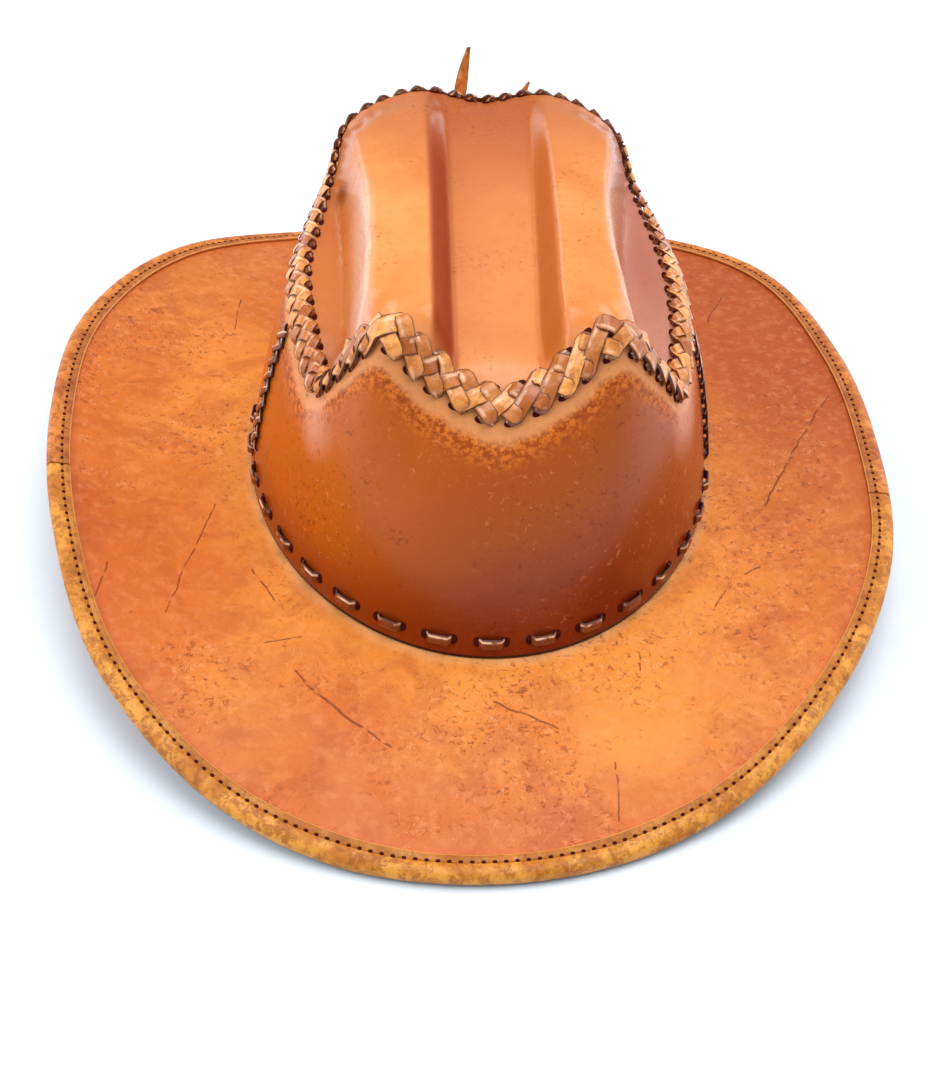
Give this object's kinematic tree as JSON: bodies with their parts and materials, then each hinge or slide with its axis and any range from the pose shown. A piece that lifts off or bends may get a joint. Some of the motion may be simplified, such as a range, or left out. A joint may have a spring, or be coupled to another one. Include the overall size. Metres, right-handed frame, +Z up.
{
  "type": "leather hat",
  "caption": "Wide-brimmed leather hat with a bound edge, a laced two-panel crown and a moulded tip with a channel and side dents.",
  "frame": {"origin": "on the resting plane, under the middle of the hat's box", "axes": "+Z up through the crown, +Y from the front of the hat to its back, +X to the right seen from the front"},
  "size_m": [0.3201, 0.3766, 0.1355],
  "materials": {
    "brim_leather": "waxed vegetable-tanned, satin, blotched",
    "binding_leather": "folded strip, satin, mottled ochre",
    "wall_leather": "burnished, glossy, deep red-brown",
    "tip_leather": "moulded, polished, glossy",
    "braid_leather": "flat thongs, satin",
    "lace_leather": "flat thong, worn satin"
  },
  "bodies": {
    "root": {"brim": "brim_leather", "binding_front": "binding_leather", "binding_back": "binding_leather", "crown_front": "wall_leather", "crown_back": "wall_leather", "crown_top": "tip_leather", "top_braid": "braid_leather", "side_lace_left": "lace_leather", "side_lace_right": "lace_leather", "base_lace": "lace_leather", "lace_end_tall": "lace_leather", "lace_end_short": "lace_leather"}
  },
  "joints": []
}
